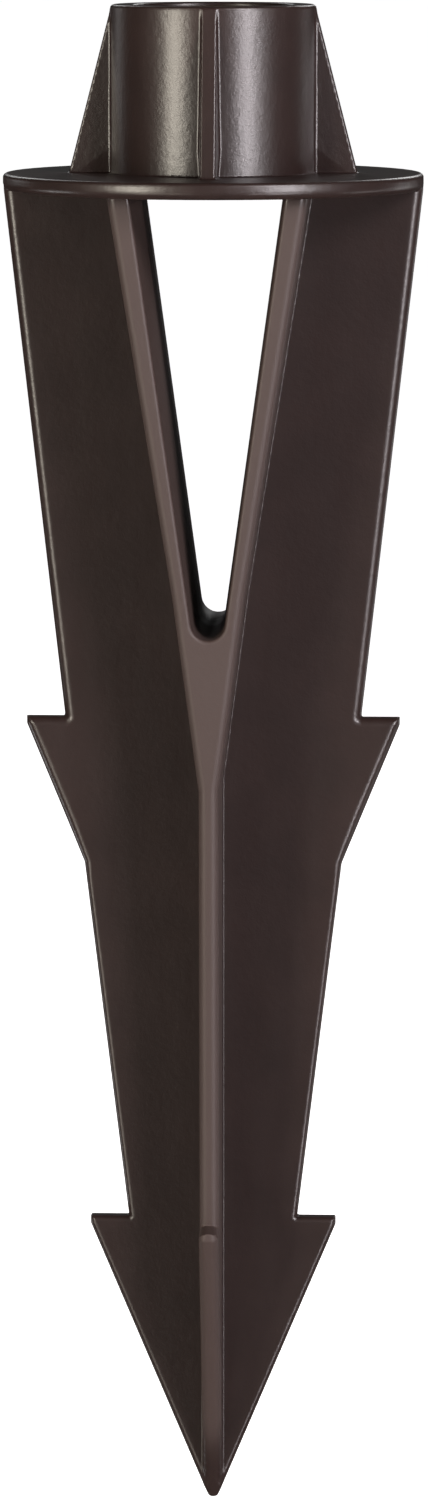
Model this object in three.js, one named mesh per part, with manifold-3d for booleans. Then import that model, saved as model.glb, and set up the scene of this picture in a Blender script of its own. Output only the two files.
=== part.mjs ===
// Ground stake for a post or a stem-mounted garden fitting.
// A moulded cross-shaped spike hangs under a round flange; a ribbed hub on top of the
// flange holds a brass insert with a pipe thread, and a V-shaped window under the flange
// lets a wire out. Millimetres, +Z up. The origin is the centre of the flange's
// underside, which is the ground line; X runs along the barbed side fins and the
// window looks along Y.

import * as THREE from 'three';
import { mergeVertices } from 'three/addons/utils/BufferGeometryUtils.js';
import Module from 'manifold-3d';

const wasm = await Module();
wasm.setup();

// ---------------------------------------------------------------- driving dimensions

const FLANGE_RADIUS = 35;
const FLANGE_THICKNESS = 2.8;
const FLANGE_TOP_ROUND = 0.7;
const FLANGE_UNDER_ROUND = 1.3;

const HUB_TOP = 30.7;
const HUB_RADIUS = 17;
const HUB_RIM_ROUND = 0.4;
const HUB_ROOT_FILLET = 0.4;

const GUSSET_COUNT = 4;
const GUSSET_REACH = 24;
const GUSSET_TOP = 30.2;
const GUSSET_THICKNESS = 2.8;

const INSERT_BOTTOM = 8.1;
const INSERT_TOP = 30.1;
const INSERT_RADIUS = 13;
const INSERT_BORE_RADIUS = 9.3;
const INSERT_GROOVE_RADIUS = 12;
const INSERT_GROOVE_HEIGHT = 3;
const INSERT_CHAMFER = 1;
const KNURL_TEETH = 36;
const KNURL_DEPTH = 0.6;
const SEAT_GAP = 0.3;

const WIRE_PASSAGE_RADIUS = 9;

const TIP_Z = -222.6;
const TIP_RADIUS = 0.9;
const TIP_FLANK_DEGREES = 23;
const FIN_STUB_REACH = 1.4;
const FIN_STUB_Z = -220.9;
const FIN_THICKNESS = 3.4;
const FIN_EDGE_BEVEL = 0.9;
const FIN_TOP_REACH = 34.95;
const UPPER_BARB = {
  ledgeZ: -88.3,
  notchReach: 24.9,
  tipReach: 31.35,
  land: 1.3,
  endZ: -113.1,
  endReach: 21.65,
};
const LOWER_BARB = { ledgeZ: -173.6, notchReach: 14.25, tipReach: 20.75, land: 1.3 };

const WEB_THICKNESS = 3.35;
const WEB_TOP_REACH = 26.5;
const WEB_BARB = { ledgeZ: -172.2, notchReach: 17, tipReach: 21.3, ledgeDrop: 0.5, land: 1.3 };
const WEB_DRAFT = 0.1;

const LEG_TOP_REACH = 16.7;
const LEG_KNEE_REACH = 5.95;
const LEG_KNEE_Z = -66.2;
const LEG_MEET_Z = -98.5;

const WINDOW_TOP_REACH = 11.75;
const WINDOW_END_REACH = 2.05;
const WINDOW_BOTTOM_Z = -72.3;
const WINDOW_SIDE_DEGREES = 8;
const WINDOW_DRAFT_DEGREES = 2.1;

const ROUND_SEGMENTS = 96;
const ARC_STEPS = 4;
const OVERLAP = 1.4;
const REACH_PAST = 45;
const MIDDLE_BAND = 0.02;

// ---------------------------------------------------------------- solids and booleans

function toSolid(geometry) {
  const plain = geometry.clone();
  plain.deleteAttribute('normal');
  plain.deleteAttribute('uv');
  const welded = mergeVertices(plain, 1e-4);
  return new wasm.Manifold(new wasm.Mesh({
    numProp: 3,
    vertProperties: new Float32Array(welded.attributes.position.array),
    triVerts: new Uint32Array(welded.index.array),
  }));
}

function toMesh(name, solid, material) {
  const result = solid.getMesh();
  const geometry = new THREE.BufferGeometry();
  geometry.setAttribute('position', new THREE.BufferAttribute(result.vertProperties, 3));
  geometry.setIndex(new THREE.BufferAttribute(result.triVerts, 1));
  geometry.computeVertexNormals();
  const mesh = new THREE.Mesh(geometry, material);
  mesh.name = name;
  return mesh;
}

function joinAll(solids) {
  return solids.reduce((whole, piece) => whole.add(piece));
}

// Points of a round corner: centre, radius, start and end angle in degrees.
function arc(cx, cy, radius, fromDegrees, toDegrees, steps = ARC_STEPS) {
  const points = [];
  for (let i = 0; i <= steps; i += 1) {
    const angle = THREE.MathUtils.degToRad(fromDegrees + ((toDegrees - fromDegrees) * i) / steps);
    points.push(new THREE.Vector2(cx + radius * Math.cos(angle), cy + radius * Math.sin(angle)));
  }
  return points;
}

function point(x, y) {
  return new THREE.Vector2(x, y);
}

// A body turned about Z from a profile of (radius, height) points.
function turned(profile) {
  const geometry = new THREE.LatheGeometry(profile, ROUND_SEGMENTS);
  geometry.rotateX(Math.PI / 2);
  return toSolid(geometry);
}

function rod(radius, lowZ, highZ) {
  return turned([point(0, lowZ), point(radius, lowZ), point(radius, highZ), point(0, highZ)]);
}

// Closes a right-hand outline, given from the top down, with its mirror image. A point on
// the centre line is kept once.
function mirrored(rightSide) {
  const leftSide = rightSide.filter((p) => p.x > 1e-6).map((p) => point(-p.x, p.y));
  return new THREE.Shape([...leftSide.reverse(), ...rightSide]);
}

// Stands an extrusion up so that its outline lies in the XZ plane.
function standInXZ(geometry) {
  geometry.rotateX(Math.PI / 2);
  return geometry;
}

// Stands an extrusion up so that its outline lies in the YZ plane.
function standInYZ(geometry) {
  geometry.rotateX(Math.PI / 2);
  geometry.rotateZ(Math.PI / 2);
  return geometry;
}

// A flat fin of the given thickness, centred on its plane, with bevelled edges.
function fin(shape, thickness, bevel) {
  const depth = thickness - 2 * bevel;
  const geometry = new THREE.ExtrudeGeometry(shape, {
    depth,
    bevelEnabled: bevel > 0,
    bevelSize: bevel,
    bevelThickness: bevel,
    bevelOffset: -bevel,
    bevelSegments: 2,
  });
  geometry.translate(0, 0, -depth / 2);
  return geometry;
}

// An extrusion whose outline is exact at the middle plane and grows (or, if negative,
// shrinks) evenly towards both ends, as the draft of a two-part mould needs.
function drafted(shape, halfDepth, growth) {
  const geometry = new THREE.ExtrudeGeometry(shape, {
    depth: MIDDLE_BAND,
    bevelEnabled: true,
    bevelSize: -growth,
    bevelThickness: halfDepth,
    bevelOffset: growth,
    bevelSegments: 1,
  });
  geometry.translate(0, 0, -MIDDLE_BAND / 2);
  return geometry;
}

// ---------------------------------------------------------------- outlines

// The end shared by both pairs of fins: below the lower barb they taper to one tip.
function pointedEnd() {
  return arc(0, TIP_Z + TIP_RADIUS, TIP_RADIUS, -TIP_FLANK_DEGREES, -90);
}

// A blunt end that reaches a little past the tip, for a plate whose bevel would not fit it.
function bluntEnd() {
  return [point(FIN_STUB_REACH, FIN_STUB_Z), point(FIN_STUB_REACH, TIP_Z - OVERLAP)];
}

function sideFinOutline(end) {
  const upper = UPPER_BARB;
  const lower = LOWER_BARB;
  return mirrored([
    point(FIN_TOP_REACH, OVERLAP),
    point(FIN_TOP_REACH, 0),
    point(upper.notchReach, upper.ledgeZ),
    point(upper.tipReach, upper.ledgeZ),
    point(upper.tipReach, upper.ledgeZ - upper.land),
    point(upper.endReach, upper.endZ),
    point(lower.notchReach, lower.ledgeZ),
    point(lower.tipReach, lower.ledgeZ),
    point(lower.tipReach, lower.ledgeZ - lower.land),
    ...end,
  ]);
}

function webDepthOutline() {
  const barb = WEB_BARB;
  return mirrored([
    point(WEB_TOP_REACH, OVERLAP),
    point(WEB_TOP_REACH, 0),
    point(barb.notchReach, barb.ledgeZ),
    point(barb.tipReach, barb.ledgeZ - barb.ledgeDrop),
    point(barb.tipReach, barb.ledgeZ - barb.ledgeDrop - barb.land),
    ...pointedEnd(),
  ]);
}

// Front view of the web: two legs that meet under the window and run on as one fin.
function legOutline() {
  return mirrored([
    point(LEG_TOP_REACH, OVERLAP),
    point(LEG_KNEE_REACH, LEG_KNEE_Z),
    point(WEB_THICKNESS / 2, LEG_MEET_Z),
    point(WEB_THICKNESS / 2, TIP_Z - OVERLAP),
  ]);
}

function windowOutline() {
  const roundCentre = WINDOW_BOTTOM_Z + WINDOW_END_REACH;
  return mirrored([
    point(WINDOW_TOP_REACH, 0),
    ...arc(0, roundCentre, WINDOW_END_REACH, -WINDOW_SIDE_DEGREES, -90, 2 * ARC_STEPS),
  ]);
}

// ---------------------------------------------------------------- sub-parts

function flange() {
  const sideLow = FLANGE_UNDER_ROUND;
  const sideHigh = FLANGE_THICKNESS - FLANGE_TOP_ROUND;
  return turned([
    point(0, 0),
    ...arc(FLANGE_RADIUS - FLANGE_UNDER_ROUND, sideLow, FLANGE_UNDER_ROUND, -90, 0),
    ...arc(FLANGE_RADIUS - FLANGE_TOP_ROUND, sideHigh, FLANGE_TOP_ROUND, 0, 90),
    point(0, FLANGE_THICKNESS),
  ]);
}

function hub() {
  const rootRadius = HUB_RADIUS + HUB_ROOT_FILLET;
  const rootHeight = FLANGE_THICKNESS + HUB_ROOT_FILLET;
  return turned([
    point(0, OVERLAP),
    point(rootRadius, OVERLAP),
    ...arc(rootRadius, rootHeight, HUB_ROOT_FILLET, 270, 180),
    ...arc(HUB_RADIUS - HUB_RIM_ROUND, HUB_TOP - HUB_RIM_ROUND, HUB_RIM_ROUND, 0, 90),
    point(0, HUB_TOP),
  ]);
}

function gussets() {
  const insideHub = HUB_RADIUS - 2;
  const shape = new THREE.Shape([
    point(insideHub, OVERLAP),
    point(GUSSET_REACH, OVERLAP),
    point(GUSSET_REACH, FLANGE_THICKNESS),
    point(HUB_RADIUS, GUSSET_TOP),
    point(insideHub, GUSSET_TOP),
  ]);
  const pieces = [];
  for (let i = 0; i < GUSSET_COUNT; i += 1) {
    const geometry = standInXZ(fin(shape, GUSSET_THICKNESS, 0));
    geometry.rotateZ((i * 2 * Math.PI) / GUSSET_COUNT);
    pieces.push(toSolid(geometry));
  }
  return joinAll(pieces);
}

// The front and back fins before they are cut to depth: two legs that run on as one fin.
function legs() {
  return toSolid(standInXZ(drafted(legOutline(), REACH_PAST, -WEB_DRAFT)));
}

// The space inside both side views, so that all four fins come down to one small tip.
function pointedEnvelope() {
  const frontView = toSolid(standInXZ(fin(sideFinOutline(pointedEnd()), 2 * REACH_PAST, 0)));
  const sideView = toSolid(standInYZ(fin(webDepthOutline(), 2 * REACH_PAST, 0)));
  return frontView.intersect(sideView);
}

function wireWindow() {
  const growth = REACH_PAST * Math.tan(THREE.MathUtils.degToRad(WINDOW_DRAFT_DEGREES));
  return toSolid(standInXZ(drafted(windowOutline(), REACH_PAST, growth)));
}

// The window stops at the flange's underside, so only what lies below it is cut.
function spike() {
  const sideFin = toSolid(standInXZ(fin(sideFinOutline(bluntEnd()), FIN_THICKNESS, FIN_EDGE_BEVEL)));
  return joinAll([sideFin, legs()]).intersect(pointedEnvelope()).subtract(wireWindow());
}

function stakeBody() {
  const seatRadius = INSERT_RADIUS + SEAT_GAP;
  return joinAll([spike(), flange(), hub(), gussets()])
    .subtract(rod(seatRadius, INSERT_BOTTOM - SEAT_GAP, HUB_TOP + OVERLAP))
    .subtract(rod(WIRE_PASSAGE_RADIUS, -OVERLAP, INSERT_BOTTOM));
}

// A ring of straight knurling teeth between two heights.
function knurledBand(lowZ, highZ) {
  const points = [];
  for (let i = 0; i < 2 * KNURL_TEETH; i += 1) {
    const angle = (i * Math.PI) / KNURL_TEETH;
    const radius = i % 2 === 0 ? INSERT_RADIUS : INSERT_RADIUS - KNURL_DEPTH;
    points.push(point(radius * Math.cos(angle), radius * Math.sin(angle)));
  }
  const geometry = new THREE.ExtrudeGeometry(new THREE.Shape(points), {
    depth: highZ - lowZ,
    bevelEnabled: false,
  });
  geometry.translate(0, 0, lowZ);
  return toSolid(geometry);
}

function threadedInsert() {
  const middle = (INSERT_BOTTOM + INSERT_TOP) / 2;
  const halfGroove = INSERT_GROOVE_HEIGHT / 2;
  const leadIn = INSERT_BORE_RADIUS + INSERT_CHAMFER;
  const blank = joinAll([
    rod(INSERT_GROOVE_RADIUS, INSERT_BOTTOM, INSERT_TOP),
    knurledBand(INSERT_BOTTOM + INSERT_CHAMFER, middle - halfGroove),
    knurledBand(middle + halfGroove, INSERT_TOP - INSERT_CHAMFER),
  ]);
  const bore = turned([
    point(0, INSERT_BOTTOM - OVERLAP),
    point(INSERT_BORE_RADIUS, INSERT_BOTTOM - OVERLAP),
    point(INSERT_BORE_RADIUS, INSERT_TOP - INSERT_CHAMFER),
    point(leadIn, INSERT_TOP),
    point(leadIn, INSERT_TOP + OVERLAP),
    point(0, INSERT_TOP + OVERLAP),
  ]);
  return blank.subtract(bore);
}

// ---------------------------------------------------------------- assembly

const bronzePlastic = new THREE.MeshStandardMaterial({ color: 0x2d2625, roughness: 0.42, metalness: 0 });
const brass = new THREE.MeshStandardMaterial({ color: 0xb8965a, roughness: 0.35, metalness: 1 });

const group = new THREE.Group();
group.add(toMesh('stake_body', stakeBody(), bronzePlastic));
group.add(toMesh('threaded_insert', threadedInsert(), brass));

export default group;
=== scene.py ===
"""Looks of the ground stake: a fine moulded body and a threaded brass insert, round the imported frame.

The body is described as a distance field in millimetres (negative inside the plastic), so its
fins, legs, ribs and hub run into each other with true root fillets and rounded edges. A surface
net turns the field into a mesh, which is thinned where it is flat. Blender's units are metres.
"""

import math

import bpy
import numpy as np
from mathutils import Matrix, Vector


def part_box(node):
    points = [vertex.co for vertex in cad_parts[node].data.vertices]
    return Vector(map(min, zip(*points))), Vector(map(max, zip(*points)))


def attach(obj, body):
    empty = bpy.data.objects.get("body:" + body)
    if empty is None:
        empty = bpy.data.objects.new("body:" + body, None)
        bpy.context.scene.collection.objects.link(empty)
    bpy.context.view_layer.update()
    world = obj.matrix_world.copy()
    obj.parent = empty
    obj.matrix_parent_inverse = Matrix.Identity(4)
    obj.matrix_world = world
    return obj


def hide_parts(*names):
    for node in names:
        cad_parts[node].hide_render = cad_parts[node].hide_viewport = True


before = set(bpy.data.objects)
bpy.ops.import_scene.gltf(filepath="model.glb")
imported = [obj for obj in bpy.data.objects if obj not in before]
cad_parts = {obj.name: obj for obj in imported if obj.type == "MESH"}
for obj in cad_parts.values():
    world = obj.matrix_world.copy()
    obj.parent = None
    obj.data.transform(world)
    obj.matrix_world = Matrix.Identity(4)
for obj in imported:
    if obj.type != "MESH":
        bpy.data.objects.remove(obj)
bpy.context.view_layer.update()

MM = 0.001

# ---------------------------------------------------------------- driving dimensions, mm

body_low, body_high = (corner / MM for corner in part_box("stake_body"))
insert_low, insert_high = (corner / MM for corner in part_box("threaded_insert"))

TIP_Z = body_low.z
HUB_TOP = body_high.z
FLANGE_RADIUS = body_high.x
INSERT_RADIUS = insert_high.x
INSERT_BOTTOM = insert_low.z
INSERT_TOP = insert_high.z

FLANGE_THICKNESS = 2.8
FLANGE_TOP_ROUND = 0.7
FLANGE_UNDER_ROUND = 1.3
HUB_RADIUS = 17.0
HUB_RIM_ROUND = 0.5
HUB_FILLET = 0.3
SEAT_GAP = 0.3
SEAT_RADIUS = INSERT_RADIUS + SEAT_GAP
SEAT_FLOOR = INSERT_BOTTOM - SEAT_GAP
WIRE_PASSAGE_RADIUS = 9.0

GUSSET_REACH = 24.0
GUSSET_TOP = HUB_TOP - 0.5
GUSSET_THICKNESS = 2.5
GUSSET_DRAFT = 0.07
GUSSET_EDGE_ROUND = 0.25
GUSSET_FILLET = 0.4

FIN_THICKNESS = 3.4
FIN_TOP_REACH = 34.95
FIN_ROUND_ABOVE = 1.65
FIN_ROUND_BELOW = 1.0
FIN_ROUND_CHANGE = (-118.0, -104.0)
UPPER_BARB = dict(ledge=-88.3, notch=24.9, tip=31.35, land=1.3, end=-113.1, end_reach=21.65)
LOWER_BARB = dict(ledge=-173.6, notch=14.25, tip=20.75, land=1.3)
TIP_RADIUS = 0.9
TIP_FLANK_DEGREES = 23
TIP_EDGE_ROUND = 0.6

WEB_THICKNESS = 3.35
WEB_TOP_REACH = 26.5
WEB_BARB = dict(ledge=-172.2, notch=17.0, tip=21.3, drop=0.5, land=1.3)
WEB_DRAFT = 0.1 / 45
WEB_ROUND = 1.35
LEG_TOP_REACH = 16.7
LEG_KNEE = (5.95, -66.2)
LEG_MEET_Z = -98.5

WINDOW_TOP_REACH = 11.75
WINDOW_END_RADIUS = 2.05
WINDOW_BOTTOM_Z = -72.3
WINDOW_SIDE_DEGREES = 8
WINDOW_OVERRUN = 20.0
WINDOW_DRAFT = math.tan(math.radians(2.1))
WINDOW_EDGE_ROUND = 0.55

ROOT_FILLET = 0.2
EDGE_ROUND = 0.4

CELL = 0.36
MESH_SHARE = 0.22
FAR = 100.0


# ---------------------------------------------------------------- distance fields

def join(a, b, radius):
    """Union of two distances with a concave fillet of that radius."""
    u = np.maximum(radius - a, 0)
    v = np.maximum(radius - b, 0)
    return np.maximum(radius, np.minimum(a, b)) - np.hypot(u, v)


def common(a, b, radius):
    """Intersection of two distances with its edge rounded to that radius."""
    u = np.maximum(radius + a, 0)
    v = np.maximum(radius + b, 0)
    return np.minimum(-radius, np.maximum(a, b)) + np.hypot(u, v)


def cut(a, b, radius):
    """Distance a with b taken away, and the edge between them rounded."""
    return common(a, -b, radius)


def half_outline_distance(across, z, right_side):
    """Distance to a shape that is the same left and right. Its right side is given from the top down."""
    low, high = right_side[-1][1], right_side[0][1]
    corners = list(right_side) + [(-FAR, low), (-FAR, high)]
    nearest = np.full(np.broadcast(across, z).shape, np.inf)
    inside = np.zeros(nearest.shape, bool)
    for (ax, az), (bx, bz) in zip(corners, corners[1:] + corners[:1]):
        edge_x, edge_z = bx - ax, bz - az
        from_x, from_z = across - ax, z - az
        along = np.clip((from_x * edge_x + from_z * edge_z) / (edge_x**2 + edge_z**2), 0, 1)
        nearest = np.minimum(nearest, (from_x - edge_x * along) ** 2 + (from_z - edge_z * along) ** 2)
        if edge_z != 0:
            inside ^= ((az > z) != (bz > z)) & (from_x < edge_x * from_z / edge_z)
    return np.where(inside, -1, 1) * np.sqrt(nearest)


def arc(cx, cz, radius, start, end, steps=8):
    """Points of a round corner, from one angle to another in degrees."""
    angles = [math.radians(start + (end - start) * i / steps) for i in range(steps + 1)]
    return [(cx + radius * math.cos(a), cz + radius * math.sin(a)) for a in angles]


def pointed_end():
    return arc(0, TIP_Z + TIP_RADIUS, TIP_RADIUS, -TIP_FLANK_DEGREES, -90)


def side_fin_outline():
    upper, lower = UPPER_BARB, LOWER_BARB
    return [
        (FIN_TOP_REACH, FLANGE_THICKNESS / 2),
        (FIN_TOP_REACH, 0),
        (upper["notch"], upper["ledge"]),
        (upper["tip"], upper["ledge"]),
        (upper["tip"], upper["ledge"] - upper["land"]),
        (upper["end_reach"], upper["end"]),
        (lower["notch"], lower["ledge"]),
        (lower["tip"], lower["ledge"]),
        (lower["tip"], lower["ledge"] - lower["land"]),
        *pointed_end(),
    ]


def web_depth_outline():
    barb = WEB_BARB
    return [
        (WEB_TOP_REACH, FLANGE_THICKNESS / 2),
        (WEB_TOP_REACH, 0),
        (barb["notch"], barb["ledge"]),
        (barb["tip"], barb["ledge"] - barb["drop"]),
        (barb["tip"], barb["ledge"] - barb["drop"] - barb["land"]),
        *pointed_end(),
    ]


def leg_outline():
    half = WEB_THICKNESS / 2
    return [(LEG_TOP_REACH, FLANGE_THICKNESS / 2), LEG_KNEE, (half, LEG_MEET_Z), (half, TIP_Z - FAR)]


def window_outline():
    """The window, with its straight sides run on above the flange's underside."""
    round_centre = WINDOW_BOTTOM_Z + WINDOW_END_RADIUS
    bottom = arc(0, round_centre, WINDOW_END_RADIUS, -WINDOW_SIDE_DEGREES, -90)
    foot_reach, foot_z = bottom[0]
    lean = (WINDOW_TOP_REACH - foot_reach) / -foot_z
    return [(WINDOW_TOP_REACH + lean * WINDOW_OVERRUN, WINDOW_OVERRUN), *bottom]


def gusset_outline():
    return [
        (HUB_RADIUS, GUSSET_TOP),
        (GUSSET_REACH, FLANGE_THICKNESS),
        (GUSSET_REACH, FLANGE_THICKNESS / 2),
    ]


def blend_between(z, limits, below, above):
    """A value that changes smoothly from below to above over a stretch of height."""
    t = np.clip((z - limits[0]) / (limits[1] - limits[0]), 0, 1)
    return below + (above - below) * t * t * (3 - 2 * t)


def spike_distance(x, y, z):
    """The cross of fins with its legs and wire window. x and y are distances from the middle planes."""
    across = half_outline_distance(x, z, side_fin_outline())
    along = half_outline_distance(y, z, web_depth_outline())
    fin_round = blend_between(z, FIN_ROUND_CHANGE, FIN_ROUND_BELOW, FIN_ROUND_ABOVE)
    fin = common(across, y - FIN_THICKNESS / 2, fin_round)
    legs = half_outline_distance(x, z, leg_outline()) + y * WEB_DRAFT
    web = common(legs, along, WEB_ROUND)
    pointed = np.maximum(join(fin, web, ROOT_FILLET), common(across, along, TIP_EDGE_ROUND))
    window = half_outline_distance(x, z, window_outline()) - y * WINDOW_DRAFT
    return cut(pointed, window, WINDOW_EDGE_ROUND)


def flange_distance(around, z):
    middle = FLANGE_THICKNESS / 2
    rounding = np.where(z > middle, FLANGE_TOP_ROUND, FLANGE_UNDER_ROUND)
    return common(around - FLANGE_RADIUS, np.abs(z - middle) - middle, rounding)


def gusset_distance(x, y, z):
    """Four gussets. Each grows thicker towards the hub, by a draft on both of its faces."""
    pair = []
    for along, aside in ((x, y), (y, x)):
        outline = half_outline_distance(along, z, gusset_outline())
        faces = aside - GUSSET_THICKNESS / 2 + GUSSET_DRAFT * outline
        pair.append(common(outline, faces, GUSSET_EDGE_ROUND))
    return np.minimum(*pair)


def stake_distance(x, y, z):
    """Signed distance to the whole moulding, in mm. It is the same in all four quarters."""
    x, y = np.abs(x), np.abs(y)
    around = np.hypot(x, y)
    flange = flange_distance(around, z)
    hub = common(around - HUB_RADIUS, np.maximum(z - HUB_TOP, -z), HUB_RIM_ROUND)
    top = join(hub, gusset_distance(x, y, z), GUSSET_FILLET)
    body = join(join(flange, top, HUB_FILLET), spike_distance(x, y, z), ROOT_FILLET)
    seat = np.maximum(around - SEAT_RADIUS, SEAT_FLOOR - z)
    passage = np.maximum(around - WIRE_PASSAGE_RADIUS, -z - 1)
    return cut(cut(body, passage, EDGE_ROUND), seat, EDGE_ROUND)


def surface_normals(points, step=0.12):
    """Unit normals of the field at points, from its slope along each axis."""
    slope = np.empty_like(points)
    for axis in range(3):
        shift = np.zeros(3)
        shift[axis] = step
        ahead, behind = points + shift, points - shift
        slope[:, axis] = stake_distance(*ahead.T) - stake_distance(*behind.T)
    return slope / np.maximum(np.linalg.norm(slope, axis=1, keepdims=True), 1e-9)


# ---------------------------------------------------------------- surface net

def sampled_field(low, high, cell):
    """The field on a grid, worked out for one quarter and mirrored to the other three."""
    count = int(math.ceil(high.x / cell)) + 2
    side = np.arange(count) * cell
    levels = np.arange(low.z - 2 * cell, high.z + 2 * cell, cell)
    quarter = np.empty((count, count, len(levels)), np.float32)
    for start in range(0, len(levels), 64):
        z = levels[None, None, start:start + 64]
        quarter[:, :, start:start + 64] = stake_distance(side[:, None, None], side[None, :, None], z)
    half = np.concatenate([quarter[:0:-1], quarter], axis=0)
    field = np.concatenate([half[:, :0:-1], half], axis=1)
    return field, np.array([-side[-1], -side[-1], levels[0]])


def net_vertices(field, cells):
    """One vertex per cell: the mean of the places where the surface crosses the cell's edges."""
    total = np.zeros(cells.shape)
    hits = np.zeros(len(cells))
    for axis in range(3):
        step = np.eye(3, dtype=int)[axis]
        across = [a for a in range(3) if a != axis]
        for first in (0, 1):
            for second in (0, 1):
                start = cells.copy()
                start[:, across[0]] += first
                start[:, across[1]] += second
                near = field[tuple(start.T)]
                far = field[tuple((start + step).T)]
                crossed = (near < 0) != (far < 0)
                share = near[crossed] / (near[crossed] - far[crossed])
                total[crossed] += start[crossed] + share[:, None] * step
                hits += crossed
    return total / hits[:, None]


def net_faces(inside, index):
    """One quad round every grid edge that the surface crosses, facing out."""
    quads = []
    for axis in range(3):
        b, c = (axis + 1) % 3, (axis + 2) % 3
        near = np.take(inside, range(inside.shape[axis] - 1), axis)
        far = np.take(inside, range(1, inside.shape[axis]), axis)
        edges = np.argwhere(near != far)
        leaving = near[tuple(edges.T)]
        back_b, back_c = np.eye(3, dtype=int)[b], np.eye(3, dtype=int)[c]
        ring = [edges, edges - back_b, edges - back_b - back_c, edges - back_c]
        quad = np.stack([index[tuple(cell.T)] for cell in ring], axis=1)
        quad[~leaving] = quad[~leaving][:, ::-1]
        quads.append(quad)
    return np.concatenate(quads)


def surface_net(low, high, cell):
    """Vertices in mm and quads of the whole moulding."""
    field, origin = sampled_field(low, high, cell)
    inside = field < 0
    count = np.zeros([n - 1 for n in inside.shape], np.uint8)
    for i in (0, 1):
        for j in (0, 1):
            for k in (0, 1):
                count += inside[i:i - 1 or None, j:j - 1 or None, k:k - 1 or None]
    on_surface = (count > 0) & (count < 8)
    cells = np.argwhere(on_surface)
    index = np.full(on_surface.shape, -1, np.int32)
    index[on_surface] = np.arange(len(cells), dtype=np.int32)
    points = origin + cell * net_vertices(field, cells)
    return points, net_faces(inside, index)


def settle(points, rounds=2):
    """Moves points along the field's slope until they lie on the surface."""
    for _ in range(rounds):
        gap = stake_distance(*points.T)
        points = points - surface_normals(points) * gap[:, None]
    return points


# ---------------------------------------------------------------- meshes

def mesh_object(name, points, faces):
    """A new object from points in mm and faces of equal size."""
    mesh = bpy.data.meshes.new(name)
    faces = np.asarray(faces, np.int32)
    corners = faces.shape[1]
    mesh.vertices.add(len(points))
    mesh.vertices.foreach_set("co", (np.asarray(points) * MM).astype(np.float32).ravel())
    mesh.loops.add(faces.size)
    mesh.loops.foreach_set("vertex_index", faces.ravel())
    mesh.polygons.add(len(faces))
    mesh.polygons.foreach_set("loop_start", np.arange(0, faces.size, corners, dtype=np.int32))
    mesh.update(calc_edges=True)
    mesh.validate()
    obj = bpy.data.objects.new(name, mesh)
    bpy.context.scene.collection.objects.link(obj)
    return obj


def thinned(obj, share):
    """Collapses the edges that the shape doesn't need, until that share of the faces is left."""
    modifier = obj.modifiers.new("thin", "DECIMATE")
    modifier.ratio = share
    modifier.use_symmetry = False
    graph = bpy.context.evaluated_depsgraph_get()
    mesh = bpy.data.meshes.new_from_object(obj.evaluated_get(graph))
    obj.modifiers.clear()
    old = obj.data
    obj.data = mesh
    bpy.data.meshes.remove(old)
    mesh.name = obj.name
    return obj


def shade_by_field(obj):
    """Puts the vertices on the field's surface and gives them its true normals."""
    mesh = obj.data
    points = np.empty(len(mesh.vertices) * 3, np.float32)
    mesh.vertices.foreach_get("co", points)
    points = settle(points.reshape(-1, 3).astype(float) / MM, rounds=1)
    mesh.vertices.foreach_set("co", (points * MM).astype(np.float32).ravel())
    mesh.update()
    mesh.shade_smooth()
    mesh.normals_split_custom_set_from_vertices(surface_normals(points).tolist())


def moulded_stake():
    points, quads = surface_net(body_low, body_high, CELL)
    stake = mesh_object("moulded_stake", settle(points), quads)
    thinned(stake, MESH_SHARE)
    shade_by_field(stake)
    return stake


# ---------------------------------------------------------------- brass insert

THREAD_PITCH = 25.4 / 14
THREAD_CREST_RADIUS = 9.3
THREAD_DEPTH = 1.1
THREAD_FLAT = 0.06
THREAD_FLANK = 0.38
THREAD_LEAD_IN = 2.1
KNURL_TEETH = 60
KNURL_DEPTH = 0.45
GROOVE_DEPTH = 1.0
GROOVE_HALF_HEIGHT = 1.5
INSERT_CHAMFER = 0.9
ROUND_STEPS = 240
INNER_LEVELS = 141
OUTER_LEVELS = 45
SHARP_DEGREES = 28


def thread_radius(turn, z):
    """Inner radius of the right-hand pipe thread: flats at crest and root, slopes between them."""
    phase = np.mod(z / THREAD_PITCH - turn, 1)
    slope = np.clip((np.abs(phase - 0.5) - THREAD_FLAT) / THREAD_FLANK, 0, 1)
    lead_in = np.clip(THREAD_LEAD_IN - (INSERT_TOP - z), 0, None)
    return np.maximum(THREAD_CREST_RADIUS + THREAD_DEPTH * (1 - slope), THREAD_CREST_RADIUS + lead_in)


def outer_radius(turn, z):
    """Outer radius: two straight-knurled bands, a groove between them, chamfered ends."""
    middle = (INSERT_BOTTOM + INSERT_TOP) / 2
    from_end = np.minimum(z - INSERT_BOTTOM, INSERT_TOP - z)
    knurl = KNURL_DEPTH * np.abs(2 * np.mod(turn * KNURL_TEETH, 1) - 1)
    radius = INSERT_RADIUS - knurl - np.clip(INSERT_CHAMFER - from_end, 0, None)
    in_groove = np.abs(z - middle) < GROOVE_HALF_HEIGHT
    return np.where(in_groove, INSERT_RADIUS - GROOVE_DEPTH, radius)


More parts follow.
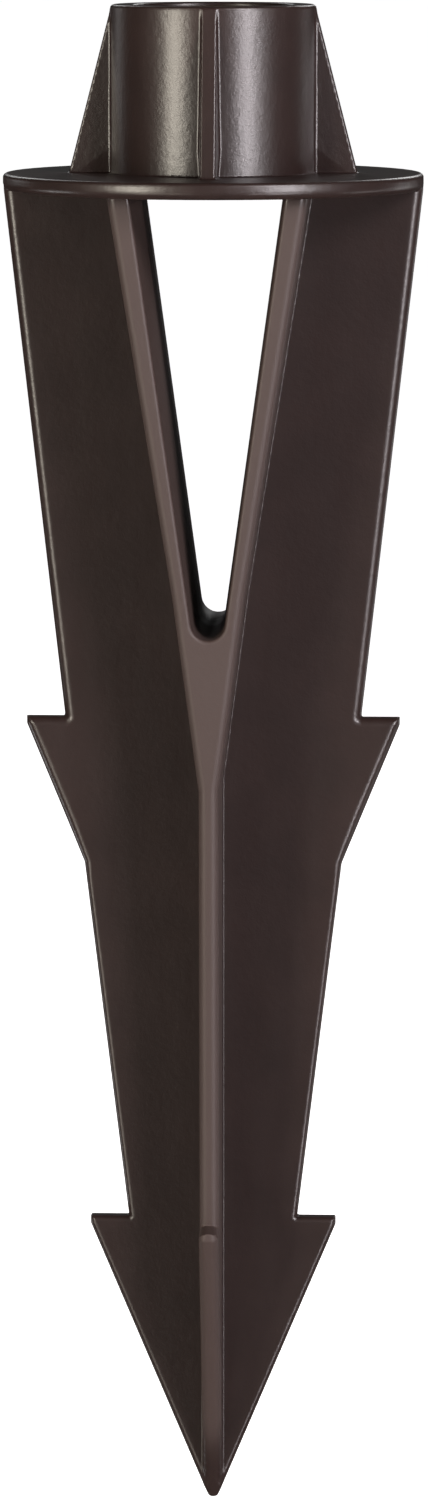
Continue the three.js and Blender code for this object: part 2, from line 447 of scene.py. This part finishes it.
def brass_insert():
    """A ring whose inside and outside radii depend on the turn and the height."""
    inner_levels = np.linspace(INSERT_TOP, INSERT_BOTTOM, INNER_LEVELS)
    outer_levels = np.linspace(INSERT_BOTTOM, INSERT_TOP, OUTER_LEVELS)
    levels = np.concatenate([inner_levels, outer_levels])
    turn = np.arange(ROUND_STEPS)[:, None] / ROUND_STEPS
    inner = thread_radius(turn, inner_levels[None, :])
    outer = outer_radius(turn, outer_levels[None, :])
    radius = np.concatenate([inner, outer], axis=1)
    angle = 2 * math.pi * turn
    heights = np.broadcast_to(levels, radius.shape)
    points = np.stack([radius * np.cos(angle), radius * np.sin(angle), heights], axis=-1)
    number = np.arange(radius.size).reshape(radius.shape)
    across = np.roll(number, -1, axis=0)
    down, across_down = np.roll(number, -1, axis=1), np.roll(across, -1, axis=1)
    quads = np.stack([number, across, across_down, down], axis=-1).reshape(-1, 4)
    insert = mesh_object("brass_insert", points.reshape(-1, 3), quads)
    insert.data.shade_smooth()
    insert.data.set_sharp_from_angle(angle=math.radians(SHARP_DEGREES))
    return insert


# ---------------------------------------------------------------- materials

PLASTIC_DARK = (0.0090, 0.0052, 0.0046, 1)
PLASTIC_LIGHT = (0.0225, 0.0127, 0.0111, 1)
# painted light: the fins' paler colour stands in for the light they catch while the plates beside them
# are shaded
PLASTIC_WEB_PAINTED_LIGHT = (0.033, 0.0195, 0.0165, 1)
PLASTIC_ROUGHNESS = (0.30, 0.37)
WEB_ROUGHNESS = 0.58
WEB_FADE = (3 * MM, 7 * MM)
FLANGE_FADE = (-2 * MM, 0.0)
PLASTIC_IOR = 1.49
CLOUD_SIZE = 14 * MM
STREAK_SIZE = 2.4 * MM
STREAK_STRETCH = (1.0, 1.0, 0.12)
STREAK_DEPTH = 0.012 * MM
GRAIN_SIZE = 0.35 * MM
GRAIN_DEPTH = 0.017 * MM
PEEL_SIZE = 1.1 * MM
PEEL_DEPTH = 0.038 * MM
PARTING_HALF_WIDTH = 0.16 * MM
PARTING_HEIGHT = 0.06 * MM

BRASS_BRIGHT = (0.62, 0.43, 0.18, 1)
BRASS_DULL = (0.50, 0.33, 0.14, 1)
BRASS_ROUGHNESS = (0.22, 0.42)
TARNISH_SIZE = 3.8 * MM
TURNING_SIZE = 0.17 * MM
TURNING_STRETCH = (0.05, 0.05, 1.0)
TURNING_DEPTH = 0.004 * MM


def node(tree, kind, settings=None, **inputs):
    """A shader node with its settings, and its inputs set to values or linked to sockets."""
    made = tree.nodes.new(kind)
    for key, value in (settings or {}).items():
        setattr(made, key, value)
    for key, value in inputs.items():
        socket = made.inputs[key.replace("_", " ")]
        if isinstance(value, bpy.types.NodeSocket):
            tree.links.new(value, socket)
        else:
            socket.default_value = value
    return made


def new_material(name):
    material = bpy.data.materials.new(name)
    material.use_nodes = True
    tree = material.node_tree
    shader = tree.nodes["Principled BSDF"]
    place = tree.nodes.new("ShaderNodeTexCoord").outputs["Object"]
    return material, tree, shader, place


def ramp(tree, value, low, high):
    """Spreads a 0 to 1 value over another range."""
    return node(tree, "ShaderNodeMapRange", Value=value, To_Min=low, To_Max=high).outputs["Result"]


def bump(tree, height, depth, under=None):
    """Raises the surface by up to depth metres where the height is 1."""
    extra = {} if under is None else {"Normal": under}
    made = node(tree, "ShaderNodeBump", Height=height, Strength=1.0, Distance=depth, **extra)
    return made.outputs["Normal"]


def noise(tree, place, size, detail=2.0, roughness=0.5):
    """Noise whose features are about size metres across."""
    settings = dict(Scale=1 / size, Detail=detail, Roughness=roughness)
    return node(tree, "ShaderNodeTexNoise", Vector=place, **settings).outputs["Fac"]


def spread(tree, value, low, high, to_low=0.0, to_high=1.0):
    """Smooth change from to_low to to_high while the value goes from low to high."""
    made = node(
        tree,
        "ShaderNodeMapRange",
        {"interpolation_type": "SMOOTHSTEP"},
        Value=value,
        From_Min=low,
        From_Max=high,
        To_Min=to_low,
        To_Max=to_high,
    )
    return made.outputs["Result"]


def mixed(tree, kind, share, low, high):
    """A mix of two values or colours, or of sockets that carry them."""
    made = tree.nodes.new("ShaderNodeMix")
    made.data_type = kind
    sockets = [socket for socket in made.inputs if socket.enabled and socket.name in "AB"]
    for socket, value in zip(sockets, (low, high)):
        if isinstance(value, bpy.types.NodeSocket):
            tree.links.new(value, socket)
        else:
            socket.default_value = value
    tree.links.new(share, made.inputs["Factor"])
    return next(socket for socket in made.outputs if socket.enabled)


def bronze_plastic():
    """Semi-matte moulded plastic: flow streaks along the fins, orange peel, fine grain, parting line.

    The front and back fins below the flange are rougher, and they are painted paler than the rest to
    stand in for the extra light they catch.
    """
    material, tree, shader, place = new_material("bronze_plastic")
    along = node(tree, "ShaderNodeMapping", Vector=place, Scale=STREAK_STRETCH).outputs["Vector"]
    streak = noise(tree, along, STREAK_SIZE, detail=3.0)
    cloud = noise(tree, place, CLOUD_SIZE, detail=6.0, roughness=0.75)
    positive = node(tree, "ShaderNodeVectorMath", {"operation": "ABSOLUTE"}, Vector=place)
    from_middle = node(tree, "ShaderNodeSeparateXYZ", Vector=positive.outputs["Vector"]).outputs["Y"]
    height = node(tree, "ShaderNodeSeparateXYZ", Vector=place).outputs["Z"]
    below_flange = spread(tree, height, *FLANGE_FADE, 1.0, 0.0)
    # mask of the front and back fins below the flange: their real rougher finish, and their painted
    # paler colour
    web_matt_and_painted_light = mixed(tree, "FLOAT", spread(tree, from_middle, *WEB_FADE), 0.0, below_flange)

    polished = mixed(tree, "RGBA", cloud, PLASTIC_DARK, PLASTIC_LIGHT)
    # painted light: the fins get a paler colour than the shaded plates beside them
    colour = mixed(tree, "RGBA", web_matt_and_painted_light, polished, PLASTIC_WEB_PAINTED_LIGHT)
    tree.links.new(colour, shader.inputs["Base Color"])
    roughness = mixed(tree, "FLOAT", web_matt_and_painted_light, ramp(tree, streak, *PLASTIC_ROUGHNESS), WEB_ROUGHNESS)
    tree.links.new(roughness, shader.inputs["Roughness"])

    grain = bump(tree, noise(tree, place, GRAIN_SIZE, roughness=0.6), GRAIN_DEPTH)
    peel = bump(tree, noise(tree, place, PEEL_SIZE), PEEL_DEPTH, grain)
    flow = bump(tree, streak, STREAK_DEPTH, peel)
    parting_line = spread(tree, from_middle, 0.0, PARTING_HALF_WIDTH, 1.0, 0.0)
    tree.links.new(bump(tree, parting_line, PARTING_HEIGHT, flow), shader.inputs["Normal"])
    shader.inputs["IOR"].default_value = PLASTIC_IOR
    return material


def machined_brass():
    """Turned brass: fine rings round its axis and patches of tarnish."""
    material, tree, shader, place = new_material("machined_brass")
    tarnish = noise(tree, place, TARNISH_SIZE, detail=4.0)
    flattened = node(tree, "ShaderNodeMapping", Vector=place, Scale=TURNING_STRETCH).outputs["Vector"]
    turning = noise(tree, flattened, TURNING_SIZE)
    tree.links.new(mixed(tree, "RGBA", tarnish, BRASS_BRIGHT, BRASS_DULL), shader.inputs["Base Color"])
    tree.links.new(ramp(tree, tarnish, *BRASS_ROUGHNESS), shader.inputs["Roughness"])
    tree.links.new(bump(tree, turning, TURNING_DEPTH), shader.inputs["Normal"])
    shader.inputs["Metallic"].default_value = 1.0
    return material


# ---------------------------------------------------------------- stage, lights, camera

AIM = Vector((0.00012, 0.0, -0.0941))
CAMERA_AZIMUTH = 2.3
CAMERA_DISTANCE = 1.18
CAMERA_HEIGHT = 0.061
CAMERA_LENS = 169.84
FLOOR_HALF = 20000.0
FLOOR_COLOUR = (0.82, 0.82, 0.82, 1)
FILL_STRENGTH = 0.02


def turned_point(azimuth, distance, height):
    """A point round the stake: azimuth 0 is in front (-Y), and it grows towards +X."""
    angle = math.radians(azimuth)
    return Vector((distance * math.sin(angle), -distance * math.cos(angle), height))


def facing(obj, target):
    obj.rotation_euler = (target - obj.location).to_track_quat("-Z", "Y").to_euler()


def pale_floor():
    material, tree, shader, _ = new_material("pale_floor")
    shader.inputs["Base Color"].default_value = FLOOR_COLOUR
    shader.inputs["Roughness"].default_value = 0.9
    shader.inputs["Emission Color"].default_value = (1, 1, 1, 1)
    shader.inputs["Emission Strength"].default_value = 1.0
    corners = [(x * FLOOR_HALF, y * FLOOR_HALF, TIP_Z) for x, y in ((-1, -1), (1, -1), (1, 1), (-1, 1))]
    floor = mesh_object("floor", corners, [(0, 1, 2, 3)])
    floor.data.materials.append(material)
    floor.visible_glossy = False


WARM = (1.0, 0.93, 0.80)
COOL = (1.0, 0.94, 0.97)
WHITE = (1.0, 1.0, 1.0)
BOX_DISTANCE = 1.3
BOX_WIDTH = 0.38
HIGH = (0.4, 0.9)
LEVEL = (-0.05, 0.12)
UNDER = (-0.22, -0.05)
LOW = (-0.9, -0.22)
LOWEST = (-0.9, -0.5)
BELOW_FLANGE = (-0.5, -0.05)


def soft_box(name, azimuth, heights, radiance, colour):
    """An upright lit panel between two heights, facing the stake's axis."""
    low, high = heights
    light = bpy.data.lights.new(name, "AREA")
    light.shape = "RECTANGLE"
    light.size = BOX_WIDTH
    light.size_y = high - low
    light.energy = radiance * math.pi * light.size * light.size_y
    light.color = colour
    obj = bpy.data.objects.new(name, light)
    bpy.context.scene.collection.objects.link(obj)
    middle = (low + high) / 2
    obj.location = turned_point(azimuth, BOX_DISTANCE, middle)
    facing(obj, Vector((0, 0, middle)))
    obj.visible_camera = False


def world_light():
    """Plain white behind the stake for the camera, and a faint even fill for everything else."""
    world = bpy.data.worlds.new("studio")
    bpy.context.scene.world = world
    world.use_nodes = True
    tree = world.node_tree
    tree.nodes.clear()
    seen = node(tree, "ShaderNodeBackground", Color=(1, 1, 1, 1), Strength=1.0)
    fill = node(tree, "ShaderNodeBackground", Color=(1, 1, 1, 1), Strength=FILL_STRENGTH)
    path = tree.nodes.new("ShaderNodeLightPath")
    mix = tree.nodes.new("ShaderNodeMixShader")
    tree.links.new(path.outputs["Is Camera Ray"], mix.inputs[0])
    tree.links.new(fill.outputs["Background"], mix.inputs[1])
    tree.links.new(seen.outputs["Background"], mix.inputs[2])
    out = tree.nodes.new("ShaderNodeOutputWorld")
    tree.links.new(mix.outputs["Shader"], out.inputs["Surface"])


def studio():
    """Keys at flange height, panels above and below them, and weaker ones at the sides and back."""
    pale_floor()
    soft_box("key_left", -41, LEVEL, 45, WARM)
    soft_box("key_right", 41, LEVEL, 46, COOL)
    soft_box("under_key_left", -41, UNDER, 12, WARM)
    soft_box("under_key_right", 41, UNDER, 14, COOL)
    soft_box("low_left", -41, LOW, 5, WARM)
    soft_box("low_right", 41, LOWEST, 17, COOL)
    soft_box("low_front", -22, LOWEST, 4, WARM)
    soft_box("high_left", -41, HIGH, 9, WARM)
    soft_box("high_right", 41, HIGH, 36, COOL)
    soft_box("side_right", 58, LEVEL, 3, WHITE)
    soft_box("low_side_left", -100, LOWEST, 6, WHITE)
    soft_box("low_side_right", 100, LOWEST, 2.5, WHITE)
    soft_box("back_left", -160, HIGH, 3, WHITE)
    soft_box("back_right", 160, HIGH, 6, WHITE)
    soft_box("rim_left", -130, LEVEL, 1.2, WHITE)
    soft_box("rim_right", 130, BELOW_FLANGE, 1.8, WHITE)
    world_light()


def main_camera():
    data = bpy.data.cameras.new("camera")
    data.lens = CAMERA_LENS
    data.sensor_width = 36
    data.clip_end = 100
    camera = bpy.data.objects.new("camera", data)
    bpy.context.scene.collection.objects.link(camera)
    camera.location = turned_point(CAMERA_AZIMUTH, CAMERA_DISTANCE, CAMERA_HEIGHT)
    facing(camera, AIM)
    bpy.context.scene.camera = camera


# ---------------------------------------------------------------- assembly

def add_piece(piece, material, cad_node):
    piece.data.materials.clear()
    piece.data.materials.append(material)
    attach(piece, "root")
    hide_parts(cad_node)


main_camera()
studio()
add_piece(moulded_stake(), bronze_plastic(), "stake_body")
add_piece(brass_insert(), machined_brass(), "threaded_insert")
bpy.context.scene.view_settings.view_transform = "Standard"

bpy.context.view_layer.update()
